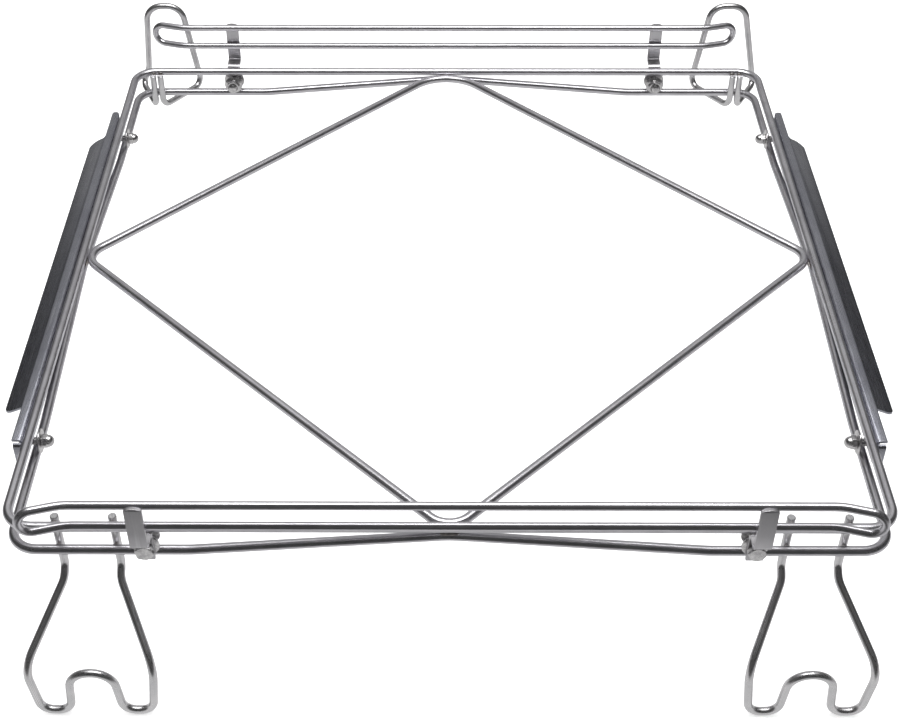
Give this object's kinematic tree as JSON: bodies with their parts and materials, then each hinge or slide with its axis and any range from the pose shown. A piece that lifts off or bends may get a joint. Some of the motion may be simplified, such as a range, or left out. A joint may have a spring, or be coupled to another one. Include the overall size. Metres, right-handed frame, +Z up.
{
  "type": "dishwasher basket guide frame",
  "caption": "Square welded wire frame with a diamond brace, front legs, rear hooks, raised wire guide rails and sheet entry slides for a dishwasher basket.",
  "frame": {"origin": "middle of the whole frame in plan, level with the soles of the front feet", "axes": "+Z up, -Y the front with the two legs, +Y the rear with the two hooks, X across between the entry slides"},
  "size_m": [0.548, 0.583, 0.1613],
  "materials": {
    "ring_wire": "drawn stainless wire, electropolished",
    "rod_wire": "drawn stainless wire, electropolished",
    "strap_steel": "satin stainless flat bar",
    "slide_sheet": "satin stainless sheet",
    "fasteners": "stainless M6 hardware"
  },
  "bodies": {
    "frame": {"upper_ring": "ring_wire", "lower_ring": "ring_wire", "diamond_brace": "ring_wire", "front_leg_left": "rod_wire", "front_leg_right": "rod_wire", "rear_hook_left": "rod_wire", "rear_hook_right": "rod_wire"},
    "front_guide": {"front_guide_rail": "rod_wire", "front_strap_left": "strap_steel", "front_strap_left_screw": "fasteners", "front_strap_left_washer": "fasteners", "front_strap_left_flange_nut": "fasteners", "front_strap_right": "strap_steel", "front_strap_right_screw": "fasteners", "front_strap_right_washer": "fasteners", "front_strap_right_flange_nut": "fasteners"},
    "rear_guide": {"rear_guide_rail": "rod_wire", "rear_strap_left": "strap_steel", "rear_strap_left_screw": "fasteners", "rear_strap_left_washer": "fasteners", "rear_strap_left_flange_nut": "fasteners", "rear_strap_right": "strap_steel", "rear_strap_right_screw": "fasteners", "rear_strap_right_washer": "fasteners", "rear_strap_right_flange_nut": "fasteners"},
    "left_slide": {"entry_slide_left": "slide_sheet", "slide_left_front_screw": "fasteners", "slide_left_front_washer": "fasteners", "slide_left_front_cap_nut": "fasteners", "slide_left_rear_screw": "fasteners", "slide_left_rear_washer": "fasteners", "slide_left_rear_cap_nut": "fasteners"},
    "right_slide": {"entry_slide_right": "slide_sheet", "slide_right_front_screw": "fasteners", "slide_right_front_washer": "fasteners", "slide_right_front_cap_nut": "fasteners", "slide_right_rear_screw": "fasteners", "slide_right_rear_washer": "fasteners", "slide_right_rear_cap_nut": "fasteners"}
  },
  "joints": [
    {"name": "front_guide_shift", "type": "slide", "parent": "frame", "child": "front_guide", "axis": [1, 0, 0], "range_m": [-0.007, 0.007]},
    {"name": "rear_guide_shift", "type": "slide", "parent": "frame", "child": "rear_guide", "axis": [1, 0, 0], "range_m": [-0.013, 0.013]},
    {"name": "left_slide_shift", "type": "slide", "parent": "frame", "child": "left_slide", "axis": [0, 1, 0], "range_m": [-0.012, 0.012]},
    {"name": "right_slide_shift", "type": "slide", "parent": "frame", "child": "right_slide", "axis": [0, 1, 0], "range_m": [-0.012, 0.012]}
  ]
}
